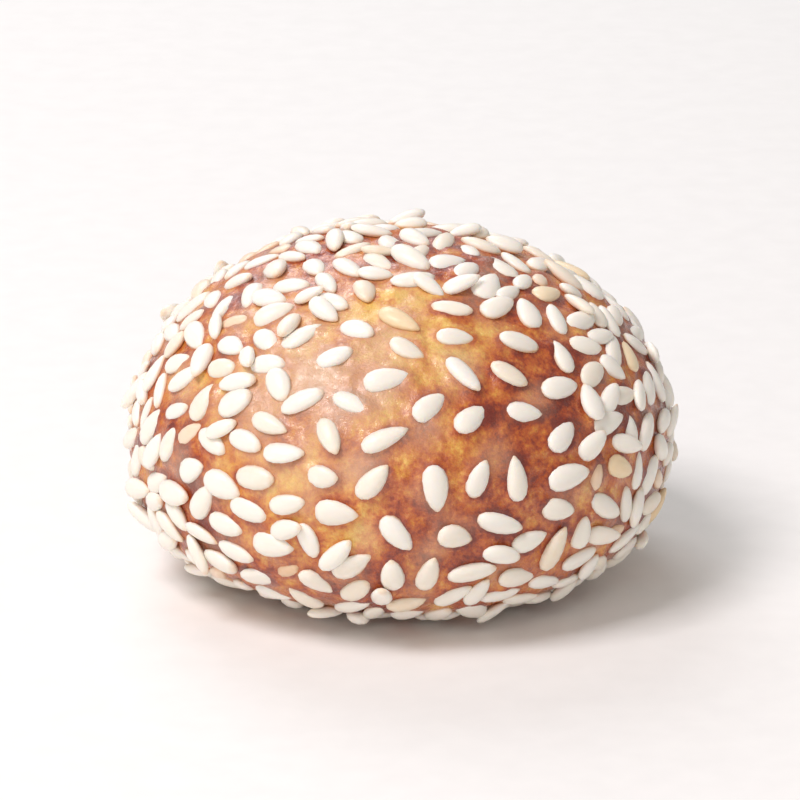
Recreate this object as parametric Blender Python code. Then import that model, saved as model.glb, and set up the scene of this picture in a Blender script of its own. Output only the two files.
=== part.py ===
"""A sesame ball: a flattened ball of fried dough in a coat of white sesame seeds.

Metres, +Z up. It stands on the small flat spot under it, and the origin is that spot's centre.
"""

import math

import bmesh
import bpy
import numpy as np

MM = 0.001

# The dough without its seeds: from its widest level a domed crown rises and a fuller belly hangs.
DOUGH_RADIUS = 20.85 * MM
CROWN_HEIGHT = 15.4 * MM
BELLY_DEPTH = 11.1 * MM
FLAT_SPOT_CUT = 0.25 * MM
CROWN_FULLNESS = 2.04
BELLY_FULLNESS = 2.8
WIDEST_LEVEL = BELLY_DEPTH - FLAT_SPOT_CUT

# Hand rolling leaves slow waves in the dough, each a share of its radius.
WAVE_COUNT = 7
WAVE_SHARE = 0.005
WAVE_TURNS = 2.4
WAVE_DRAW = 5

# One sesame seed, and how far the others differ from it.
SEED_LENGTH = 3.2 * MM
SEED_WIDTH = 1.78 * MM
SEED_THICKNESS = 1.0 * MM
SIZE_SPREAD = 0.09
SHAPE_SPREAD = 0.06
SPREAD_LIMIT = 2.0

# The coat of seeds, whose outlines may overlap by a little. It is thinner on one side, where frying
# stretched the dough. The seeds lean one way round the ball, as it was rolled in them.
SEED_COUNT = 520
SEED_DRAW = 11
TRIES = 240
CHOICES = 3
SEED_GAP = -0.05 * MM
STRETCHED_SIDE = (0.1, -0.89, 0.44)
STRETCHED_REACH = 0.7
STRETCHED_POWER = 3
STRETCHED_GAP = 0.6 * MM
LEAN = math.radians(18)
LEAN_SPREAD = math.radians(44)
PITCH_SPREAD = math.radians(5)
ROLL_SPREAD = math.radians(9)
SUNK_SHARES = (0.34, 0.5)

# A seed's corners reach this share of its size from its middle. None comes nearer the floor than the gap.
CORNER_REACH = 0.6
FLOOR_GAP = 0.05 * MM

# Discs along a seed that stand for its outline: place and radius, as shares of its length and width.
OUTLINE_DISCS = ((-0.21, 0.5), (0.09, 0.47), (0.35, 0.27))

# The solid holds the largest seeds, each a tent over a teardrop outline.
# A seed that the flat spot presses up further than MOST_LIFT is hidden, and isn't in the solid.
SOLID_SEEDS = 340
MOST_LIFT = 0.35 * MM
RIM_POINTS = 7
RIM_LEVEL = -0.3
TAPER = 0.3
RIDGE_PLACES = (-0.26, 0.12)
BALL_CUTS = 7
MERGE_DISTANCE = 0.05 * MM
SHARP_ANGLE = math.radians(25)

DOUGH_COLOUR = (0.47, 0.21, 0.09, 1.0)
DOUGH_ROUGHNESS = 0.4
SEED_COLOUR = (0.87, 0.79, 0.68, 1.0)
SEED_ROUGHNESS = 0.5


def unit(vectors):
    return vectors / np.linalg.norm(vectors, axis=-1, keepdims=True)


def dough_points(directions):
    """The dough's surface, along unit directions from the middle of its widest level."""
    side = np.hypot(directions[:, 0], directions[:, 1])
    up = directions[:, 2]
    height = np.where(up > 0, CROWN_HEIGHT, BELLY_DEPTH)
    power = np.where(up > 0, CROWN_FULLNESS, BELLY_FULLNESS)
    reach = ((side / DOUGH_RADIUS) ** power + (np.abs(up) / height) ** power) ** (-1 / power)
    draw = np.random.default_rng(WAVE_DRAW)
    turns = draw.normal(0, WAVE_TURNS, (WAVE_COUNT, 3))
    starts = draw.uniform(0, 2 * math.pi, WAVE_COUNT)
    waves = np.sin(directions @ turns.T + starts).sum(axis=1)
    points = directions * (reach * (1 + WAVE_SHARE * waves))[:, None]
    points[:, 2] += WIDEST_LEVEL
    return points


def side_axes(directions):
    """Two unit axes across each direction: one level, and one up the ball."""
    steep = np.abs(directions[:, 2:]) > 0.995
    level = unit(np.cross(np.where(steep, (0.0, 1.0, 0.0), (0.0, 0.0, 1.0)), directions))
    return level, np.cross(directions, level)


def dough_normals(directions):
    """Outward normals, from surface points a short step away to both sides."""
    step = 0.001
    slopes = []
    for axis in side_axes(directions):
        ahead = dough_points(unit(directions + step * axis))
        behind = dough_points(unit(directions - step * axis))
        slopes.append(ahead - behind)
    return unit(np.cross(slopes[0], slopes[1]))


def stretching(directions):
    """How far frying stretched the dough, up to one: a blunt bell curve about one side of the ball."""
    apart = np.linalg.norm(directions - STRETCHED_SIDE, axis=1)
    return np.exp(-((apart / STRETCHED_REACH) ** STRETCHED_POWER))


def seed_sizes(draw):
    """Length, width and thickness of each seed, largest first."""
    spread = draw.normal(0, 1, (SEED_COUNT, 3)).clip(-SPREAD_LIMIT, SPREAD_LIMIT)
    whole = 1 + SIZE_SPREAD * spread[:, :1]
    shape = 1 + SHAPE_SPREAD * spread[:, 1:]
    sizes = np.hstack([whole * shape[:, :1], whole / shape[:, :1], whole * shape[:, 1:]])
    sizes = sizes * (SEED_LENGTH, SEED_WIDTH, SEED_THICKNESS)
    return sizes[np.argsort(-sizes[:, 0] * sizes[:, 1])]


def tilted_axes(lengthwise, normal, pitch, roll):
    """A seed's three axes, after it pitches about its width and rolls about its length."""
    sideways = np.cross(normal, lengthwise)
    along = math.cos(pitch) * lengthwise + math.sin(pitch) * normal
    upward = math.cos(roll) * np.cross(along, sideways) + math.sin(roll) * sideways
    return np.array([along, np.cross(upward, along), upward])


def lay_seeds(count):
    """Lay the largest seeds on the dough, each clear of those before it.

    A seed tries many places, spread evenly over the dough's area, and needs more room where the dough
    is stretched. Of the first few that are clear it takes the one with most room. Each comes back as
    its middle, its lengthwise, sideways and upward axes, its size, and how far the flat spot pressed
    it up.
    """
    draw = np.random.default_rng(SEED_DRAW)
    places, shares = np.array(OUTLINE_DISCS).T
    disc_centres = np.empty((0, 3))
    disc_radii = np.empty(0)
    laid = []
    for size in seed_sizes(draw)[:count]:
        directions = unit(draw.normal(0, 1, (TRIES, 3)))
        luck = draw.uniform(0, 1, TRIES)
        turn = draw.normal(LEAN, LEAN_SPREAD, (TRIES, 1))
        pitch, roll = draw.normal(0, (PITCH_SPREAD, ROLL_SPREAD))
        sunk = draw.uniform(*SUNK_SHARES)

        points = dough_points(directions)
        normals = dough_normals(directions)
        on_flat_spot = points[:, 2] < 0
        points[on_flat_spot, 2] = 0
        normals[on_flat_spot] = (0, 0, -1)
        reach = points - (0, 0, WIDEST_LEVEL)
        chance = (reach**2).sum(axis=1) / (normals * unit(reach)).sum(axis=1)
        tried = luck < chance / chance.max()

        points, normals, turn = points[tried], normals[tried], turn[tried]
        level, uphill = side_axes(normals)
        lengthwise = np.cos(turn) * level + np.sin(turn) * uphill
        discs = points[:, None] + lengthwise[:, None] * (places * size[0])[:, None]
        radii = shares * size[1]
        squares = (discs**2).sum(axis=2)[:, :, None] + (disc_centres**2).sum(axis=1)
        apart = np.sqrt(np.maximum(squares - 2 * discs @ disc_centres.T, 0))
        gaps = apart - radii[:, None] - disc_radii
        room = gaps.reshape(len(points), -1).min(axis=1, initial=SEED_LENGTH)
        room -= STRETCHED_GAP * stretching(directions[tried])
        clear = np.flatnonzero(room > SEED_GAP)[:CHOICES]
        if len(clear) == 0:
            continue
        best = clear[np.argmax(room[clear])]
        disc_centres = np.vstack([disc_centres, discs[best]])
        disc_radii = np.append(disc_radii, radii)

        axes = tilted_axes(lengthwise[best], normals[best], pitch, roll)
        middle = points[best] + normals[best] * (0.5 - sunk) * size[2]
        lowest = middle[2] - np.linalg.norm(axes[:, 2] * size) * CORNER_REACH
        lift = max(FLOOR_GAP - lowest, 0)
        laid.append((middle + (0, 0, lift), axes, size, lift))
    return laid


def seed_points():
    """A seed of length, width and thickness 1: teardrop rim, two ridge points above, a keel below."""
    turns = np.arange(RIM_POINTS) * 2 * math.pi / RIM_POINTS
    along = np.cos(turns) / 2
    across = np.sin(turns) * (1 - TAPER * np.cos(turns)) / 2
    rim = np.column_stack([along, across, np.full(RIM_POINTS, RIM_LEVEL)])
    ridge = [(place, 0, 0.5) for place in RIDGE_PLACES]
    keel = [(0, 0, -0.5)]
    return np.vstack([rim, ridge, keel])


def new_collection(name):
    collection = bpy.data.collections.new(name)
    bpy.context.scene.collection.children.link(collection)
    return collection


def new_object(name, shape, material, collection):
    """Turn the bmesh into an object with its material."""
    mesh = bpy.data.meshes.new(name)
    shape.to_mesh(mesh)
    shape.free()
    mesh.materials.append(material)
    thing = bpy.data.objects.new(name, mesh)
    collection.objects.link(thing)
    return thing


def new_material(name, colour, roughness):
    material = bpy.data.materials.new(name)
    material.use_nodes = True
    surface = material.node_tree.nodes["Principled BSDF"]
    surface.inputs["Base Color"].default_value = colour
    surface.inputs["Roughness"].default_value = roughness
    return material


def make_ball(collection):
    """A finely divided cube with its points moved to the dough's surface, cut level for the flat spot."""
    shape = bmesh.new()
    bmesh.ops.create_cube(shape, size=1)
    bmesh.ops.subdivide_edges(shape, edges=shape.edges[:], cuts=BALL_CUTS, use_grid_fill=True)
    corners = np.array([tuple(vert.co) for vert in shape.verts])
    for vert, point in zip(shape.verts, dough_points(unit(np.tan(corners * math.pi / 2)))):
        vert.co = point
    geometry = shape.verts[:] + shape.edges[:] + shape.faces[:]
    cut = bmesh.ops.bisect_plane(shape, geom=geometry, plane_no=(0, 0, -1), clear_outer=True)
    rim = [piece for piece in cut["geom_cut"] if isinstance(piece, bmesh.types.BMEdge)]
    bmesh.ops.contextual_create(shape, geom=rim)
    bmesh.ops.triangulate(shape, faces=shape.faces[:])
    bmesh.ops.recalc_face_normals(shape, faces=shape.faces[:])
    material = new_material("fried dough", DOUGH_COLOUR, DOUGH_ROUGHNESS)
    return new_object("sesame_ball", shape, material, collection)


def make_seeds(collection):
    """Each seed is the hull of its few points."""
    material = new_material("sesame seed", SEED_COLOUR, SEED_ROUGHNESS)
    for number, (middle, axes, size, lift) in enumerate(lay_seeds(SOLID_SEEDS)):
        if lift > MOST_LIFT:
            continue
        shape = bmesh.new()
        for point in middle + (seed_points() * size) @ axes:
            shape.verts.new(point)
        bmesh.ops.convex_hull(shape, input=shape.verts)
        seed = new_object(f"seed_{number:03}", shape, material, collection)
        seed.hide_render = True
        seed.display_type = "WIRE"


def fuse(ball, seeds):
    """One union of the ball and every seed, applied, with the slivers along its seams merged."""
    union = ball.modifiers.new("fuse the seeds", "BOOLEAN")
    union.operation = "UNION"
    union.material_mode = "TRANSFER"
    union.operand_type = "COLLECTION"
    union.collection = seeds
    graph = bpy.context.evaluated_depsgraph_get()
    fused = bpy.data.meshes.new_from_object(ball.evaluated_get(graph))
    ball.modifiers.remove(union)
    for seed in list(seeds.objects):
        bpy.data.objects.remove(seed)
    bpy.data.collections.remove(seeds)

    shape = bmesh.new()
    shape.from_mesh(fused)
    bmesh.ops.triangulate(shape, faces=shape.faces[:])
    bmesh.ops.remove_doubles(shape, verts=shape.verts[:], dist=MERGE_DISTANCE)
    shape.to_mesh(fused)
    shape.free()
    fused.shade_smooth()
    fused.set_sharp_from_angle(angle=SHARP_ANGLE)
    ball.data = fused


def main():
    for thing in list(bpy.data.objects):
        bpy.data.objects.remove(thing)
    ball = make_ball(new_collection("sesame ball"))
    seeds = new_collection("seeds")
    make_seeds(seeds)
    fuse(ball, seeds)


main()
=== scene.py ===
"""The looks of a sesame ball: fried dough, its coat of sesame seeds, and soft daylight.

Every piece is a surface worked out with numpy, in metres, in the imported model's frame.
"""

import math

import bpy
import numpy as np
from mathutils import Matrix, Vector


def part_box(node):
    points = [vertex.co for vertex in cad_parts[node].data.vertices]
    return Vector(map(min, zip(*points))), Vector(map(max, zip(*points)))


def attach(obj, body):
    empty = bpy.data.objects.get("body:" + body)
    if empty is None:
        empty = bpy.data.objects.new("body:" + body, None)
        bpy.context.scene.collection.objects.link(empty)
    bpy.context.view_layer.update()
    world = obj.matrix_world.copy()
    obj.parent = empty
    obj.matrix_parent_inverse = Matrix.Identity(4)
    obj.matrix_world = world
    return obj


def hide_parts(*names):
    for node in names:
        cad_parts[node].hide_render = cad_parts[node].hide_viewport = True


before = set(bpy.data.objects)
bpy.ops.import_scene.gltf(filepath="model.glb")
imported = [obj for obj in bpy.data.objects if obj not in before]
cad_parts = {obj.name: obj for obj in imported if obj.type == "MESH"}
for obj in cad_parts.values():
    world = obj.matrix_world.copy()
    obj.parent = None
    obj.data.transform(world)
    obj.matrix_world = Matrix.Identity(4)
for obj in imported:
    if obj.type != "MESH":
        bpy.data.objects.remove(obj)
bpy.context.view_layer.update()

MM = 0.001

# The dough without its seeds, as in the solid.
DOUGH_RADIUS = 20.85 * MM
CROWN_HEIGHT = 15.4 * MM
BELLY_DEPTH = 11.1 * MM
FLAT_SPOT_CUT = 0.25 * MM
CROWN_FULLNESS = 2.04
BELLY_FULLNESS = 2.8
WIDEST_LEVEL = BELLY_DEPTH - FLAT_SPOT_CUT
WAVE_COUNT = 7
WAVE_SHARE = 0.005
WAVE_TURNS = 2.4
WAVE_DRAW = 5

# The coat of seeds, as in the solid.
SEED_LENGTH = 3.2 * MM
SEED_WIDTH = 1.78 * MM
SEED_THICKNESS = 1.0 * MM
SIZE_SPREAD = 0.09
SHAPE_SPREAD = 0.06
SPREAD_LIMIT = 2.0
SEED_COUNT = 520
SEED_DRAW = 11
TRIES = 240
CHOICES = 3
SEED_GAP = -0.05 * MM
STRETCHED_SIDE = (0.1, -0.89, 0.44)
STRETCHED_REACH = 0.7
STRETCHED_POWER = 3
STRETCHED_GAP = 0.6 * MM
LEAN = math.radians(18)
LEAN_SPREAD = math.radians(44)
PITCH_SPREAD = math.radians(5)
ROLL_SPREAD = math.radians(9)
SUNK_SHARES = (0.34, 0.5)
CORNER_REACH = 0.6
FLOOR_GAP = 0.05 * MM
OUTLINE_DISCS = ((-0.21, 0.5), (0.09, 0.47), (0.35, 0.27))

# The crust's fine surface. Its flat spot stays a little above the floor, on the seeds pressed into it.
CRUST_CELLS = 126
CRUST_FLAT_LEVEL = 0.12 * MM
CRUST_FLAT_SOFTNESS = 0.12 * MM
LUMP_WIDTH = 6 * MM
LUMP_HEIGHT = 0.06 * MM
BLISTER_WIDTH = 1.5 * MM
BLISTER_HEIGHT = 0.11 * MM
BLISTER_LEVEL = 0.4
GRAIN_WIDTH = 0.7 * MM
GRAIN_HEIGHT = 0.025 * MM
LIP_HEIGHT = 0.1 * MM
LIP_WIDTH = 0.35 * MM
# Width of the painted shade at each seed's foot.
SEED_SHADE_WIDTH = 0.25 * MM
SEAT_REACH = 1.0 * MM
LUMP_DRAW, BLISTER_DRAW, GRAIN_DRAW = 30, 31, 32

# Smooth noise: how many waves it sums, and their turns per hump.
NOISE_WAVES = 28
NOISE_TURNS = (0.75, 1.3)

# How deeply the crust is fried, from 0 to 1, with painted shade on the right and toward the foot: its middle
# value, and what each cause adds or takes.
BROWNING = 0.53
PAINTED_SHADE_RIGHT = 0.12
PAINTED_SHADE_RIGHT_REACH = 14 * MM
PAINTED_SHADE_LOW = 0.04
GOLDEN_SPOT = np.array([1, -12.5, 22.9]) * MM
GOLDEN_SPOT_WIDTH = 8 * MM
GOLDEN_SPOT_SHARE = 0.16
BROWNING_NOISE = 0.09
WIDE_NOISE_WIDTH = 7 * MM
WIDE_NOISE_DRAW = 186
FINE_NOISE_WIDTH = 2.6 * MM
FINE_NOISE_DRAW = 42

# A painted sheen: a pale spot on the crust's upper left front, where the lamps' highlight falls, broken by
# noise.
PAINTED_SHEEN_SPOT = np.array([-7.5, -14, 21]) * MM
PAINTED_SHEEN_WIDTH = 9.5 * MM
PAINTED_SHEEN_SHARE = 0.62
PAINTED_SHEEN_NOISE = 0.13
PAINTED_SHEEN_NOISE_WIDTH = 2.4 * MM
PAINTED_SHEEN_NOISE_DRAW = 43

# A visible seed: rings along it, the step from its ends to the first of them as a share of the steps
# between them, points round each ring, and how its outline and its tint vary.
SEED_RINGS = 7
SEED_END_STEP = 0.75
SEED_SEGMENTS = 10
BLUNT_POWERS = (0.38, 0.48)
TIP_POWERS = (0.5, 0.78)
THICK_TIP_SHARE = 0.8
BENDS = (-0.05, 0.05)
TINT_SHAPE = (1.3, 3.5)

# Seeds that differ from the plain white ones, as shares of the coat.
TOASTED_SHARE = 0.04
SUNKEN_SHARE = 0.04
SUNKEN_DEPTH = 0.15 * MM
SMALL_SHARE = 0.3
KIND_DRAW = 3

# Seeds that lie on the edge of a neighbour, mostly away from the stretched side: how far and over how
# many discs, how much the overlap raises them, and their tilt for each millimetre of it.
LEANING_OVERLAPS = (0.15 * MM, 0.85 * MM)
LEANING_DISCS = 3
LEANING_STRETCH = 0.6
LEANING_RAISE = 0.55
LEANING_TILT = math.radians(28)
LEANING_FLOOR = 1.5 * MM
LEANING_DRAW = 21

# Widths of the patterns in the materials.
MOTTLE_WIDTH = 1.3 * MM
SPECK_WIDTH = 0.35 * MM
PIN_BLISTER_WIDTH = 0.55 * MM
PORE_WIDTH = 0.22 * MM
CLOUD_WIDTH = 0.5 * MM
SEED_GRAIN_WIDTH = 0.16 * MM
FIBRE_WIDTH = 3 * MM

# Colours, in sRGB. Those of the crust go from pale gold to red-brown, and a seed's from cream to gold.
CRUST_COLOURS = [
    (0.0, "#edbf60"), (0.26, "#dd9841"), (0.46, "#cc762f"),
    (0.64, "#b9581f"), (0.82, "#9c3b13"), (1.0, "#7a240c"),
]
# The pale peach of the painted sheen.
PAINTED_SHEEN_COLOUR = "#deb897"
WHITE_COLOURS = [(0.0, "#fbf5ec"), (0.5, "#f8f0e4"), (0.85, "#f4e7d4"), (1.0, "#efdbc0")]
TOASTED_COLOURS = [(0.0, "#faead0"), (0.6, "#f5dcb6"), (1.0, "#eccb9b")]
FILMED_COLOURS = [(0.0, "#fae6d2"), (0.6, "#f4d6b9"), (1.0, "#eac39c")]
BOARD_COLOURS = [(0.3, "#f3f2f0"), (0.7, "#f6f5f3")]

# Each lamp's place, width, power in watts and colour, and the pale room's colour and strength.
LAMPS = [
    ("skylight", (-0.26, -0.17, 0.5), 0.24, 2.15, "#fff8fa"),
    ("front window", (-0.12, -0.56, 0.2), 0.5, 0.8, "#fffaf4"),
    ("back window", (-0.14, 0.43, 0.4), 0.3, 1.1, "#f8faff"),
]
ROOM_COLOUR = "#faf7f4"
ROOM_STRENGTH = 0.4

# The camera stands in front of the ball, a little above it.
VIEW_ELEVATION = math.radians(19)
VIEW_DISTANCE = 0.4
BALL_SHARE = 0.69
SENSOR_WIDTH = 36
NEAREST_VIEW = 0.01
FLOOR_HALF = 4.0

# Directions with a steeper rise than this take another axis to be level with.
STEEP_RISE = 0.995


def unit(vectors):
    return vectors / np.linalg.norm(vectors, axis=-1, keepdims=True)


def dough_points(directions):
    """The dough's surface, along unit directions from the middle of its widest level.

    Above and below that level it is a solid of revolution whose profile satisfies
    (side / radius) to a power plus (height / full height) to the same power equals one.
    A few slow sine waves over the directions then move it in and out.
    """
    side = np.hypot(directions[:, 0], directions[:, 1])
    up = directions[:, 2]
    height = np.where(up > 0, CROWN_HEIGHT, BELLY_DEPTH)
    power = np.where(up > 0, CROWN_FULLNESS, BELLY_FULLNESS)
    reach = ((side / DOUGH_RADIUS) ** power + (np.abs(up) / height) ** power) ** (-1 / power)
    draw = np.random.default_rng(WAVE_DRAW)
    turns = draw.normal(0, WAVE_TURNS, (WAVE_COUNT, 3))
    starts = draw.uniform(0, 2 * math.pi, WAVE_COUNT)
    waves = np.sin(directions @ turns.T + starts).sum(axis=1)
    points = directions * (reach * (1 + WAVE_SHARE * waves))[:, None]
    points[:, 2] += WIDEST_LEVEL
    return points


def side_axes(directions):
    """Two unit axes across each direction: one level, and one up the ball."""
    steep = np.abs(directions[:, 2:]) > STEEP_RISE
    level = unit(np.cross(np.where(steep, (0.0, 1.0, 0.0), (0.0, 0.0, 1.0)), directions))
    return level, np.cross(directions, level)


def dough_normals(directions):
    """Outward normals: the cross product of the surface's slopes along both side axes."""
    step = 0.001
    slopes = []
    for axis in side_axes(directions):
        ahead = dough_points(unit(directions + step * axis))
        behind = dough_points(unit(directions - step * axis))
        slopes.append(ahead - behind)
    return unit(np.cross(slopes[0], slopes[1]))


def stretching(directions):
    """How far frying stretched the dough, up to one: a blunt bell curve about one side of the ball."""
    apart = np.linalg.norm(directions - STRETCHED_SIDE, axis=1)
    return np.exp(-((apart / STRETCHED_REACH) ** STRETCHED_POWER))


def seed_sizes(draw):
    """Length, width and thickness of each seed, largest first."""
    spread = draw.normal(0, 1, (SEED_COUNT, 3)).clip(-SPREAD_LIMIT, SPREAD_LIMIT)
    whole = 1 + SIZE_SPREAD * spread[:, :1]
    shape = 1 + SHAPE_SPREAD * spread[:, 1:]
    sizes = np.hstack([whole * shape[:, :1], whole / shape[:, :1], whole * shape[:, 1:]])
    sizes = sizes * (SEED_LENGTH, SEED_WIDTH, SEED_THICKNESS)
    return sizes[np.argsort(-sizes[:, 0] * sizes[:, 1])]


def tilted_axes(lengthwise, normal, pitch, roll):
    """A seed's three axes, after it pitches about its width and rolls about its length."""
    sideways = np.cross(normal, lengthwise)
    along = math.cos(pitch) * lengthwise + math.sin(pitch) * normal
    upward = math.cos(roll) * np.cross(along, sideways) + math.sin(roll) * sideways
    return np.array([along, np.cross(upward, along), upward])


class Coat:
    """Keeps the discs that stand for the outlines of the seeds laid so far, and finds places for more."""

    def __init__(self):
        self.places, self.shares = np.array(OUTLINE_DISCS).T
        self.centres = np.empty((0, 3))
        self.radii = np.empty(0)

    def trial_places(self, draw):
        """Places to try, spread evenly over the dough's area."""
        directions = unit(draw.normal(0, 1, (TRIES, 3)))
        luck = draw.uniform(0, 1, TRIES)
        turn = draw.normal(LEAN, LEAN_SPREAD, (TRIES, 1))
        pitch, roll = draw.normal(0, (PITCH_SPREAD, ROLL_SPREAD))
        sunk = draw.uniform(*SUNK_SHARES)
        points = dough_points(directions)
        normals = dough_normals(directions)
        on_flat_spot = points[:, 2] < 0
        points[on_flat_spot, 2] = 0
        normals[on_flat_spot] = (0, 0, -1)
        reach = points - (0, 0, WIDEST_LEVEL)
        chance = (reach**2).sum(axis=1) / (normals * unit(reach)).sum(axis=1)
        tried = luck < chance / chance.max()
        points, normals, turn = points[tried], normals[tried], turn[tried]
        level, uphill = side_axes(normals)
        lengthwise = np.cos(turn) * level + np.sin(turn) * uphill
        return points, normals, lengthwise, stretching(directions[tried]), pitch, roll, sunk

    def gaps(self, points, lengthwise, size):
        """The gap between each of a trial seed's discs and each disc that is there already."""
        discs = points[:, None] + lengthwise[:, None] * (self.places * size[0])[:, None]
        radii = self.shares * size[1]
        squares = (discs**2).sum(axis=2)[:, :, None] + (self.centres**2).sum(axis=1)
        apart = np.sqrt(np.maximum(squares - 2 * discs @ self.centres.T, 0))
        return discs, radii, apart - radii[:, None] - self.radii

    def keep(self, discs, radii):
        self.centres = np.vstack([self.centres, discs])
        self.radii = np.append(self.radii, radii)


def lay_seeds(coat):
    """The whole coat, as rows of middle, three axes and size, each seed clear of those before it.

    Seeds lie further apart where the dough is stretched. Of the first few of its trial places that
    are clear, a seed takes the one with most room.
    """
    draw = np.random.default_rng(SEED_DRAW)
    rows = []
    for size in seed_sizes(draw):
        points, normals, lengthwise, stretched, pitch, roll, sunk = coat.trial_places(draw)
        discs, radii, gaps = coat.gaps(points, lengthwise, size)
        room = gaps.reshape(len(points), -1).min(axis=1, initial=SEED_LENGTH)
        room -= STRETCHED_GAP * stretched
        clear = np.flatnonzero(room > SEED_GAP)[:CHOICES]
        if len(clear) == 0:
            continue
        best = clear[np.argmax(room[clear])]
        coat.keep(discs[best], radii)
        axes = tilted_axes(lengthwise[best], normals[best], pitch, roll)
        middle = points[best] + normals[best] * (0.5 - sunk) * size[2]
        lowest = middle[2] - np.linalg.norm(axes[:, 2] * size) * CORNER_REACH
        middle = middle + (0, 0, max(FLOOR_GAP - lowest, 0))
        rows.append(np.vstack([middle, axes, size]))
    return np.array(rows)


def lay_leaning_seeds(coat):
    """Seeds that overlap a neighbour's edge: raised, and tilted up on that neighbour's side.

    They are raised by a share of the overlap, and tilted by an angle for each millimetre of it.
    """
    draw = np.random.default_rng(LEANING_DRAW)
    rows = []
    for size in draw.permutation(seed_sizes(draw)):
        points, normals, lengthwise, stretched, pitch, roll, sunk = coat.trial_places(draw)
        discs, radii, gaps = coat.gaps(points, lengthwise, size)
        flat = gaps.reshape(len(points), -1)
        overlap = -flat.min(axis=1)
        fits = (overlap > LEANING_OVERLAPS[0]) & (overlap < LEANING_OVERLAPS[1])
        fits &= (flat < 0).sum(axis=1) <= LEANING_DISCS
        fits &= points[:, 2] > LEANING_FLOOR
        fits &= stretched < draw.uniform(0, LEANING_STRETCH, len(points))
        if not fits.any():
            continue
        best = np.flatnonzero(fits)[0]
        neighbour = coat.centres[np.argmin(flat[best]) % len(coat.radii)]
        normal = normals[best]
        toward = neighbour - points[best]
        toward = unit(toward - (toward @ normal) * normal)
        tilted = unit(normal - math.tan(LEANING_TILT * overlap[best] / MM) * toward)
        along = unit(lengthwise[best] - (lengthwise[best] @ tilted) * tilted)
        axes = np.array([along, np.cross(tilted, along), tilted])
        middle = points[best] + normal * ((0.5 - sunk) * size[2] + LEANING_RAISE * overlap[best])
        coat.keep(discs[best], radii)
        rows.append(np.vstack([middle, axes, size]))
    return np.array(rows)


def wave_field(points, width, draw_number):
    """Smooth noise with humps about as wide as given: plane waves of that length in random directions.

    The sum is scaled to a typical size of one.
    """
    draw = np.random.default_rng(draw_number)
    ways = unit(draw.normal(0, 1, (NOISE_WAVES, 3)))
    turns = ways * draw.uniform(*NOISE_TURNS, (NOISE_WAVES, 1)) * math.pi / width
    starts = draw.uniform(0, 2 * math.pi, NOISE_WAVES)
    return np.sin(points @ turns.T + starts).sum(axis=1) / math.sqrt(NOISE_WAVES / 2)


def bell(points, middle, width):
    """A bell curve of the distance from a place: e to the power of minus (distance / width) squared."""
    return np.exp(-(((points - middle) ** 2).sum(axis=1) / width**2))


def seed_outline(along, blunt_power, tip_power):
    """A seed's half width as a share of its own, at a place from -1, its blunt end, to 1, its tip.

    It is (1 + along) to one power times (1 - along) to the other, scaled to reach one.
    """
    widest = (blunt_power - tip_power) / (blunt_power + tip_power)
    return ((1 + along) / (1 + widest)) ** blunt_power * ((1 - along) / (1 - widest)) ** tip_power


def closed_cube_grid(cells):
    """Unit directions over a cube's six faces, each a square grid, and the quads between them.

    A face's grid lines are spread by the tangent of their angle, so that the quads come out alike.
    Points on the cube's edges are shared, so the surface is closed.
    """
    steps = np.arange(cells + 1)
    first, second = np.meshgrid(steps, steps, indexing="ij")
    lattice = []
    quads = []
    corner = (first * (cells + 1) + second)[:-1, :-1].ravel()
    square = np.stack([corner, corner + cells + 1, corner + cells + 2, corner + 1], axis=1)
    for axis in range(3):
        for end in (0, cells):
            face = np.empty((cells + 1, cells + 1, 3), int)
            face[..., axis] = end
            face[..., (axis + 1) % 3] = first
            face[..., (axis + 2) % 3] = second
            quads.append((square if end else square[:, ::-1]) + len(lattice) * (cells + 1) ** 2)
            lattice.append(face.reshape(-1, 3))
    places, shared = np.unique(np.concatenate(lattice), axis=0, return_inverse=True)
    warped = np.tan((places / cells - 0.5) * math.pi / 2)
    return unit(warped), shared.reshape(-1)[np.concatenate(quads)]


def mesh_piece(name, points, faces, attributes, material):
    """A smooth mesh object from arrays: faces is a list of arrays, each with one number of corners."""
    mesh = bpy.data.meshes.new(name)
    corners = np.concatenate([group.ravel() for group in faces])
    counts = np.concatenate([np.full(len(group), group.shape[1]) for group in faces])
    starts = np.concatenate([[0], np.cumsum(counts)[:-1]])
    mesh.vertices.add(len(points))
    mesh.vertices.foreach_set("co", points.astype(np.float32).ravel())
    mesh.loops.add(len(corners))
    mesh.loops.foreach_set("vertex_index", corners.astype(np.int32))
    mesh.polygons.add(len(counts))
    mesh.polygons.foreach_set("loop_start", starts.astype(np.int32))
    mesh.update(calc_edges=True)
    for key, values in attributes.items():
        layer = mesh.attributes.new(key, "FLOAT", "POINT")
        layer.data.foreach_set("value", values.astype(np.float32))
    mesh.shade_smooth()
    mesh.materials.append(material)
    piece = bpy.data.objects.new(name, mesh)
    bpy.context.scene.collection.objects.link(piece)
    return piece


def seat_distance(points, rows):
    """How far each crust point is outside the nearest seed's outline, capped at SEAT_REACH.

    The tiny amounts keep a point on a seed's very middle from a division by zero.
    """
    nearest = np.full(len(points), SEAT_REACH)
    for middle, along, across, upward, size in rows:
        near = np.flatnonzero(((points - middle) ** 2).sum(axis=1) < (size[0] / 2 + SEAT_REACH) ** 2)
        offset = points[near] - middle
        lengthwise = offset @ along
        sideways = offset @ across
        reach = np.hypot(lengthwise, sideways) + 1e-9
        share = np.hypot(lengthwise / (size[0] / 2), sideways / (size[1] / 2))
        outside = reach * (1 - 1 / np.maximum(share, 1e-6))
        nearest[near] = np.minimum(nearest[near], outside)
    return nearest


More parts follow.
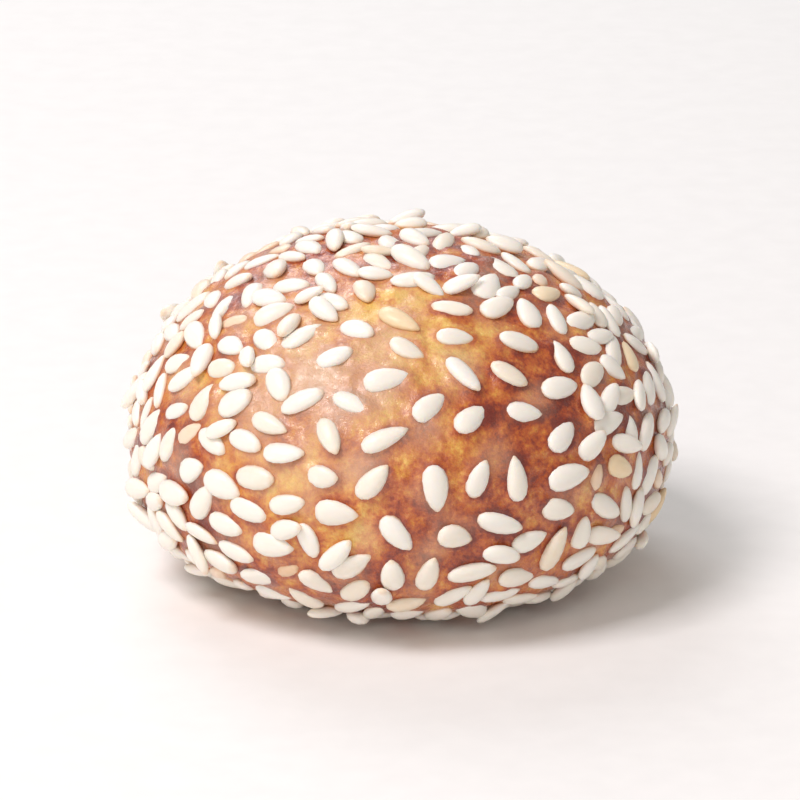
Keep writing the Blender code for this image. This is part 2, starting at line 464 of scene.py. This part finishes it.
def browning_and_painted_shade(points):
    """How deeply each point of the crust is fried, from 0, pale gold, to 1, red-brown, with painted shade in
    it.

    It rises to the right and toward the foot as painted shade, on the side away from the lamps, falls in one
    golden spot, and wanders with noise.
    """
    # Painted shade: darker to the right and toward the foot, away from the lamps.
    right = PAINTED_SHADE_RIGHT * np.tanh(points[:, 0] / PAINTED_SHADE_RIGHT_REACH)
    low = PAINTED_SHADE_LOW * np.clip(1 - points[:, 2] / WIDEST_LEVEL, 0, 1)
    spot = GOLDEN_SPOT_SHARE * bell(points, GOLDEN_SPOT, GOLDEN_SPOT_WIDTH)
    wide = BROWNING_NOISE * wave_field(points, WIDE_NOISE_WIDTH, WIDE_NOISE_DRAW)
    fine = BROWNING_NOISE * wave_field(points, FINE_NOISE_WIDTH, FINE_NOISE_DRAW)
    return np.clip(BROWNING + right + low - spot + (wide + fine), 0, 1)


def painted_sheen(points):
    """How strongly a painted sheen makes the crust pale: one bell-shaped spot, broken by noise."""
    spot = PAINTED_SHEEN_SHARE * bell(points, PAINTED_SHEEN_SPOT, PAINTED_SHEEN_WIDTH)
    return np.clip(spot + PAINTED_SHEEN_NOISE * wave_field(points, PAINTED_SHEEN_NOISE_WIDTH, PAINTED_SHEEN_NOISE_DRAW), 0, 1)


def make_crust(rows, material):
    """The dough's surface: its solid form, plus relief along its normals.

    The relief is slow lumps, blisters where smooth noise rises over a level, a fine grain, and a lip
    of dough round each seed that falls off as a bell curve of the distance from the seed's outline.
    """
    directions, quads = closed_cube_grid(CRUST_CELLS)
    points = dough_points(directions)
    normals = dough_normals(directions)
    distance = np.maximum(seat_distance(points, rows), 0)
    blisters = np.maximum(wave_field(points, BLISTER_WIDTH, BLISTER_DRAW) - BLISTER_LEVEL, 0)
    relief = LUMP_HEIGHT * wave_field(points, LUMP_WIDTH, LUMP_DRAW)
    relief += BLISTER_HEIGHT * blisters
    relief += GRAIN_HEIGHT * wave_field(points, GRAIN_WIDTH, GRAIN_DRAW)
    relief += LIP_HEIGHT * np.exp(-((distance / LIP_WIDTH) ** 2))
    points = points + normals * relief[:, None]
    over = (points[:, 2] - CRUST_FLAT_LEVEL) / CRUST_FLAT_SOFTNESS
    points[:, 2] = CRUST_FLAT_LEVEL + CRUST_FLAT_SOFTNESS * np.logaddexp(0, over)
    attributes = {
        # Frying depth, with painted shade on the right and toward the foot.
        "browning_and_painted_shade": browning_and_painted_shade(points),
        # Painted sheen: the share of the pale peach in each point's colour.
        "painted_sheen": painted_sheen(points),
        # Painted shade at each seed's foot, falling off with the distance from its outline.
        "painted_shade_beside_seed": np.exp(-distance / SEED_SHADE_WIDTH),
    }
    return mesh_piece("dough_crust", points, [quads], attributes, material)


def make_seeds(name, rows, material, draw):
    """Seeds joined in one mesh.

    A seed is rings along its length, spaced as the cosine of an even angle, with a point at each end.
    Its half width follows seed_outline, its half thickness the same curve with a blunter tip, and its
    middle line bends sideways as the square of the place along it.
    """
    count = len(rows)
    middle, axes, size = rows[:, 0], rows[:, 1:4], rows[:, 4]
    blunt_power = draw.uniform(*BLUNT_POWERS, (count, 1, 1))
    tip_power = draw.uniform(*TIP_POWERS, (count, 1, 1))
    bend = draw.uniform(*BENDS, (count, 1, 1))
    tints = draw.beta(*TINT_SHAPE, count)
    steps = SEED_RINGS - 1 + 2 * SEED_END_STEP
    place = -np.cos((np.arange(SEED_RINGS) + SEED_END_STEP) * math.pi / steps)[None, :, None]
    turn = (np.arange(SEED_SEGMENTS) * 2 * math.pi / SEED_SEGMENTS)[None, None, :]
    across = seed_outline(place, blunt_power, tip_power) / 2 * np.cos(turn) + bend * (place**2 - 0.5)
    upward = seed_outline(place, blunt_power, tip_power * THICK_TIP_SHARE) / 2 * np.sin(turn)
    body = np.stack(np.broadcast_arrays(place / 2, across, upward), axis=-1).reshape(count, -1, 3)
    ends = np.zeros((count, 2, 3))
    ends[:, 0, 0] = -0.5
    ends[:, 1, 0] = 0.5
    ends[:, :, 1] = bend[:, :, 0] / 2
    local = np.concatenate([body, ends], axis=1) * size[:, None]
    points = (middle[:, None] + local @ axes).reshape(-1, 3)

    segment = np.arange(SEED_SEGMENTS)
    following = (segment + 1) % SEED_SEGMENTS
    ring = np.arange(SEED_RINGS - 1)[:, None] * SEED_SEGMENTS
    ahead = ring + SEED_SEGMENTS
    quads = np.stack([ring + segment, ring + following, ahead + following, ahead + segment], axis=-1)
    quads = quads.reshape(-1, 4)
    last = (SEED_RINGS - 1) * SEED_SEGMENTS
    blunt, tip = last + SEED_SEGMENTS, last + SEED_SEGMENTS + 1
    caps = np.concatenate([
        np.stack([following, segment, np.full(SEED_SEGMENTS, blunt)], axis=1),
        np.stack([last + segment, last + following, np.full(SEED_SEGMENTS, tip)], axis=1),
    ])
    per_seed = tip + 1
    shift = (np.arange(count) * per_seed)[:, None, None]
    faces = [(quads + shift).reshape(-1, 4), (caps + shift).reshape(-1, 3)]

    directions = unit(points - (0, 0, WIDEST_LEVEL))
    above = ((points - dough_points(directions)) * dough_normals(directions)).sum(axis=1)
    places = np.concatenate([np.repeat(place.ravel(), SEED_SEGMENTS), [-1, 1]])
    attributes = {
        "height_above_dough": above / MM,
        "tint": np.repeat(tints, per_seed),
        "toward_tip": np.tile(places, count),
    }
    return mesh_piece(name, points, faces, attributes, material)


def linear(colour):
    """A hex colour in sRGB as linear red, green, blue and a solid alpha."""
    values = np.array([int(colour[start:start + 2], 16) for start in (1, 3, 5)]) / 255
    return (*np.where(values <= 0.04045, values / 12.92, ((values + 0.055) / 1.055) ** 2.4), 1.0)


def add(tree, kind, inputs, output=0, stops=(), **settings):
    """Add a node and return one of its outputs.

    An input is a value, or another node's output to link from. stops are a colour ramp's places and
    hex colours, and settings are the node's own.
    """
    node = tree.nodes.new("ShaderNode" + kind)
    for key, value in settings.items():
        setattr(node, key, value)
    for key, value in inputs.items():
        if isinstance(value, bpy.types.NodeSocket):
            tree.links.new(value, node.inputs[key])
        else:
            node.inputs[key].default_value = value
    for number, (place, colour) in enumerate(stops):
        elements = node.color_ramp.elements
        element = elements[number] if number < len(elements) else elements.new(place)
        element.position = place
        element.color = linear(colour)
    return node.outputs[output]


def new_material(name, **inputs):
    """A material with its tree, and its shader with the inputs' values set, underscores read as spaces."""
    material = bpy.data.materials.new(name)
    material.use_nodes = True
    shader = material.node_tree.nodes["Principled BSDF"]
    for key, value in inputs.items():
        shader.inputs[key.replace("_", " ")].default_value = value
    return material, material.node_tree, shader


def fried_dough_material():
    """Glutinous rice dough, deep fried: a thin blistered crust, gold to red-brown, in a film of oil.

    The eye gets a mottled colour with painted shade and a painted sheen in it, light that soaks a little way
    in, and a broad broken sheen.
    """
    material, tree, shader = new_material(
        "glutinous rice dough, deep fried", IOR=1.47, Specular_IOR_Level=0.25, Subsurface_Weight=0.15,
        Subsurface_Radius=(1.0, 0.42, 0.18), Subsurface_Scale=0.8 * MM, Coat_Weight=1.0, Coat_IOR=1.6)
    where = add(tree, "TexCoord", {}, "Object")
    # This attribute carries painted shade on the right and toward the foot as well as the frying depth.
    fried = add(tree, "Attribute", {}, "Fac", attribute_name="browning_and_painted_shade")
    painted_shade_beside = add(tree, "Attribute", {}, "Fac", attribute_name="painted_shade_beside_seed")

    # Mottles and specks swing the frying depth both ways, and painted shade at each seed's foot adds to it.
    mottle = add(tree, "TexNoise", {
        "Vector": where, "Scale": 1 / MOTTLE_WIDTH, "Detail": 3.0, "Roughness": 0.6})
    speck = add(tree, "TexNoise", {
        "Vector": where, "Scale": 1 / SPECK_WIDTH, "Detail": 2.0, "Roughness": 0.6})
    coarse = add(tree, "Math", {0: mottle, 1: 1.3, 2: -1.3 / 2}, operation="MULTIPLY_ADD")
    fine = add(tree, "Math", {0: speck, 1: 0.8, 2: -0.8 / 2}, operation="MULTIPLY_ADD")
    foot = add(tree, "Math", {0: painted_shade_beside, 1: 0.3, 2: fried}, operation="MULTIPLY_ADD")
    uneven = add(tree, "Math", {0: coarse, 1: fine}, operation="ADD")
    total = add(tree, "Math", {0: foot, 1: uneven}, operation="ADD", use_clamp=True)
    colour = add(tree, "ValToRGB", {"Fac": total}, "Color", CRUST_COLOURS)

    # A painted sheen: pale peach mixed over the crust's colour in one spot.
    pale = add(tree, "Attribute", {}, "Fac", attribute_name="painted_sheen")
    mixed = add(tree, "Mix", {"Factor": pale, "A": colour, "B": linear(PAINTED_SHEEN_COLOUR)}, "Result",
                data_type="RGBA")
    tree.links.new(mixed, shader.inputs["Base Color"])

    # Pin blisters and pores, under a film of oil that is smoother in some places than in others.
    blisters = add(tree, "TexVoronoi", {"Vector": where, "Scale": 1 / PIN_BLISTER_WIDTH}, "Distance",
                   feature="SMOOTH_F1")
    pores = add(tree, "TexNoise", {
        "Vector": where, "Scale": 1 / PORE_WIDTH, "Detail": 3.0, "Roughness": 0.65})
    height = add(tree, "Math", {0: blisters, 1: -0.9, 2: pores}, operation="MULTIPLY_ADD")
    bump = add(tree, "Bump", {"Height": height, "Strength": 0.8, "Distance": 0.1 * MM}, "Normal")
    tree.links.new(bump, shader.inputs["Normal"])
    film = add(tree, "Bump", {"Height": height, "Strength": 0.45, "Distance": 0.1 * MM}, "Normal")
    tree.links.new(film, shader.inputs["Coat Normal"])
    rough = add(tree, "MapRange", {"Value": mottle, "To Min": 0.34, "To Max": 0.6}, "Result")
    tree.links.new(rough, shader.inputs["Roughness"])
    oiled = add(tree, "MapRange", {
        "Value": speck, "From Min": 0.35, "From Max": 0.62, "To Min": 0.16, "To Max": 0.46}, "Result")
    tree.links.new(oiled, shader.inputs["Coat Roughness"])
    return material


def sesame_material(name, stops, soak_and_bounce_colour, bounce_and_soak_height):
    """A hulled sesame seed, fried: smooth, cream white, slightly see-through, golden where oil soaks it, and
    low on it a painted warm bounce light from the dough.

    stops are the colours that a seed's tint picks from; the next argument is the colour at the line where it
    meets the dough, partly oil and partly painted warm bounce light from the dough, and the last how far up
    the seed that colour reaches, in millimetres.
    """
    material, tree, shader = new_material(
        name, Roughness=0.42, IOR=1.47, Subsurface_Weight=0.3, Subsurface_Radius=(1.0, 0.75, 0.5),
        Subsurface_Scale=0.5 * MM, Coat_Weight=0.15, Coat_Roughness=0.2)
    where = add(tree, "TexCoord", {}, "Object")
    tint = add(tree, "Attribute", {}, "Fac", attribute_name="tint")
    above = add(tree, "Attribute", {}, "Fac", attribute_name="height_above_dough")
    along = add(tree, "Attribute", {}, "Fac", attribute_name="toward_tip")

    # Clouds within a seed's own tint, and the oil colour at its tip and low on the seed, where it is also
    # painted warm bounce light from the dough.
    cloud = add(tree, "TexNoise", {"Vector": where, "Scale": 1 / CLOUD_WIDTH, "Detail": 2.0})
    varied = add(tree, "Math", {0: cloud, 1: 0.25, 2: tint}, operation="MULTIPLY_ADD", use_clamp=True)
    colour = add(tree, "ValToRGB", {"Fac": varied}, "Color", stops)
    soak_and_bounce = add(tree, "MapRange", {
        "Value": above, "From Min": 0.02, "From Max": bounce_and_soak_height, "To Min": 0.85, "To Max": 0.0},
        "Result", interpolation_type="SMOOTHSTEP")
    tip = add(tree, "MapRange", {"Value": along, "From Min": 0.7, "To Max": 0.45}, "Result",
              interpolation_type="SMOOTHSTEP")
    edge = add(tree, "Math", {0: soak_and_bounce, 1: tip}, operation="MAXIMUM")
    mixed = add(tree, "Mix", {"Factor": edge, "A": colour, "B": linear(soak_and_bounce_colour)}, "Result", data_type="RGBA")
    tree.links.new(mixed, shader.inputs["Base Color"])

    grain = add(tree, "TexNoise", {"Vector": where, "Scale": 1 / SEED_GRAIN_WIDTH, "Detail": 2.0})
    bump = add(tree, "Bump", {"Height": grain, "Strength": 0.3, "Distance": 0.03 * MM}, "Normal")
    tree.links.new(bump, shader.inputs["Normal"])
    return material


def studio_material():
    """Matt painted board: plain and pale, so that it only carries the soft light."""
    material, tree, shader = new_material("matt painted board", Roughness=0.85)
    where = add(tree, "TexCoord", {}, "Object")
    fibre = add(tree, "TexNoise", {"Vector": where, "Scale": 1 / FIBRE_WIDTH, "Detail": 3.0})
    colour = add(tree, "ValToRGB", {"Fac": fibre}, "Color", BOARD_COLOURS)
    tree.links.new(colour, shader.inputs["Base Color"])
    return material


def make_floor():
    """A flat square far larger than the view."""
    half = FLOOR_HALF
    points = np.array([(-half, -half, 0), (half, -half, 0), (half, half, 0), (-half, half, 0)])
    floor = mesh_piece("floor", points, [np.array([[0, 1, 2, 3]])], {}, studio_material())


def soft_light(name, place, size, power, colour, aim):
    """A square lamp at a place, turned to face the aim."""
    lamp = bpy.data.lights.new(name, "AREA")
    lamp.shape = "SQUARE"
    lamp.size = size
    lamp.energy = power
    lamp.color = linear(colour)[:3]
    light = bpy.data.objects.new(name, lamp)
    light.location = place
    light.rotation_euler = (Vector(aim) - Vector(place)).to_track_quat("-Z", "Y").to_euler()
    bpy.context.scene.collection.objects.link(light)


def make_daylight(middle):
    """A skylight high on the left, windows in front and behind, and a pale room all round."""
    for name, place, size, power, colour in LAMPS:
        soft_light(name, place, size, power, colour, middle)
    world = bpy.data.worlds.new("pale room")
    bpy.context.scene.world = world
    world.use_nodes = True
    room = world.node_tree.nodes["Background"]
    room.inputs["Color"].default_value = linear(ROOM_COLOUR)
    room.inputs["Strength"].default_value = ROOM_STRENGTH
    bpy.context.scene.view_settings.view_transform = "Standard"


def make_camera(low, high):
    """Aimed at the middle of the ball, with a lens that gives the ball its share of the frame."""
    middle = (low + high) / 2
    back = Vector((0, -math.cos(VIEW_ELEVATION), math.sin(VIEW_ELEVATION)))
    lens = bpy.data.cameras.new("camera")
    lens.sensor_width = SENSOR_WIDTH
    lens.lens = SENSOR_WIDTH * BALL_SHARE * VIEW_DISTANCE / (high.x - low.x)
    lens.clip_start = NEAREST_VIEW
    camera = bpy.data.objects.new("camera", lens)
    camera.location = middle + back * VIEW_DISTANCE
    camera.rotation_euler = (-back).to_track_quat("-Z", "Y").to_euler()
    bpy.context.scene.collection.objects.link(camera)
    bpy.context.scene.camera = camera


def make_coat(rows, leaning):
    """The seeds in four pieces by kind: plain, toasted, sunken and leaning. The smallest may be sunken."""
    draw = np.random.default_rng(KIND_DRAW)
    luck = draw.uniform(0, 1, len(rows))
    small = np.arange(len(rows)) > len(rows) * (1 - SMALL_SHARE)
    sunken = small & (luck < SUNKEN_SHARE / SMALL_SHARE)
    toasted = ~sunken & (luck > 1 - TOASTED_SHARE)
    plain = ~sunken & ~toasted
    rows[sunken, 0] -= rows[sunken, 3] * SUNKEN_DEPTH
    # Each kind's colour low on the seed is partly oil and partly painted warm bounce light from the dough;
    # the number after it is how far up it reaches, in millimetres.
    kinds = [
        ("white_seeds", rows[plain], "white sesame, hulled and fried", WHITE_COLOURS, "#e8bb8c", 0.26),
        ("toasted_seeds", rows[toasted], "white sesame, toasted", TOASTED_COLOURS, "#dca768", 0.28),
        ("sunken_seeds", rows[sunken], "white sesame under a film of dough", FILMED_COLOURS, "#d39a68", 0.3),
        ("leaning_seeds", leaning, "white sesame, on its neighbours", WHITE_COLOURS, "#e8bb8c", 0.26),
    ]
    for name, chosen, material_name, stops, soak_and_bounce_colour, bounce_and_soak_height in kinds:
        material = sesame_material(material_name, stops, soak_and_bounce_colour, bounce_and_soak_height)
        piece = make_seeds(name, chosen, material, draw)
        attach(piece, "root")


def main():
    low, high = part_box("sesame_ball")
    make_camera(low, high)
    make_daylight((low + high) / 2)
    make_floor()

    coat = Coat()
    rows = lay_seeds(coat)
    leaning = lay_leaning_seeds(coat)
    crust = make_crust(rows, fried_dough_material())
    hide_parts("sesame_ball")
    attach(crust, "root")
    make_coat(rows, leaning)


main()
